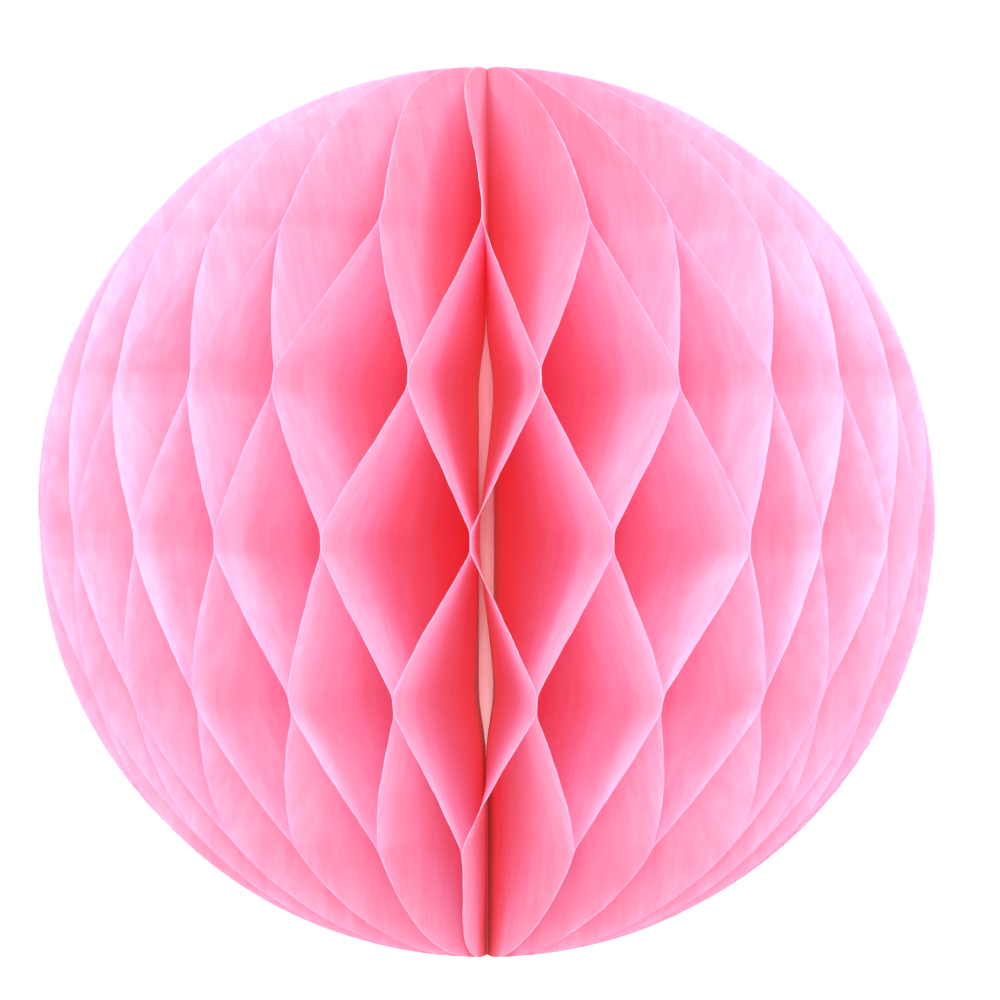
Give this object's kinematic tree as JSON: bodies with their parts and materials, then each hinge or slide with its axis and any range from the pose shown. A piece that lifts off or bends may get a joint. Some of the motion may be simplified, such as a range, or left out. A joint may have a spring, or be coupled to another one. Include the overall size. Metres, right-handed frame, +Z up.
{
  "type": "honeycomb paper ball",
  "caption": "Round party decoration of tissue half discs glued in alternate strips, bound to a spine and opened in a full turn.",
  "frame": {"origin": "centre of the ball, on its axis and half way between its poles", "axes": "+Z up along the spine, -Y towards the viewer of the picture, +X to the viewer's right; the seam between the end cards is at +Y"},
  "size_m": [0.2015, 0.2017, 0.1998],
  "materials": {
    "tissue": "matte, slightly translucent tissue",
    "card": "matte",
    "binding": "matte"
  },
  "bodies": {
    "root": {"tissue_leaf_01": "tissue", "tissue_leaf_02": "tissue", "tissue_leaf_03": "tissue", "tissue_leaf_04": "tissue", "tissue_leaf_05": "tissue", "tissue_leaf_06": "tissue", "tissue_leaf_07": "tissue", "tissue_leaf_08": "tissue", "tissue_leaf_09": "tissue", "tissue_leaf_10": "tissue", "tissue_leaf_11": "tissue", "tissue_leaf_12": "tissue", "tissue_leaf_13": "tissue", "tissue_leaf_14": "tissue", "tissue_leaf_15": "tissue", "tissue_leaf_16": "tissue", "tissue_leaf_17": "tissue", "tissue_leaf_18": "tissue", "tissue_leaf_19": "tissue", "tissue_leaf_20": "tissue", "tissue_leaf_21": "tissue", "tissue_leaf_22": "tissue", "tissue_leaf_23": "tissue", "tissue_leaf_24": "tissue", "tissue_leaf_25": "tissue", "tissue_leaf_26": "tissue", "tissue_leaf_27": "tissue", "tissue_leaf_28": "tissue", "tissue_leaf_29": "tissue", "tissue_leaf_30": "tissue", "tissue_leaf_31": "tissue", "tissue_leaf_32": "tissue", "tissue_leaf_33": "tissue", "tissue_leaf_34": "tissue", "tissue_leaf_35": "tissue", "tissue_leaf_36": "tissue", "tissue_leaf_37": "tissue", "tissue_leaf_38": "tissue", "tissue_leaf_39": "tissue", "tissue_leaf_40": "tissue", "tissue_leaf_41": "tissue", "tissue_leaf_42": "tissue", "tissue_leaf_43": "tissue", "tissue_leaf_44": "tissue", "tissue_leaf_45": "tissue", "tissue_leaf_46": "tissue", "tissue_leaf_47": "tissue", "tissue_leaf_48": "tissue", "tissue_leaf_49": "tissue", "tissue_leaf_50": "tissue", "end_card_left": "card", "end_card_right": "card", "spine": "binding"}
  },
  "joints": []
}
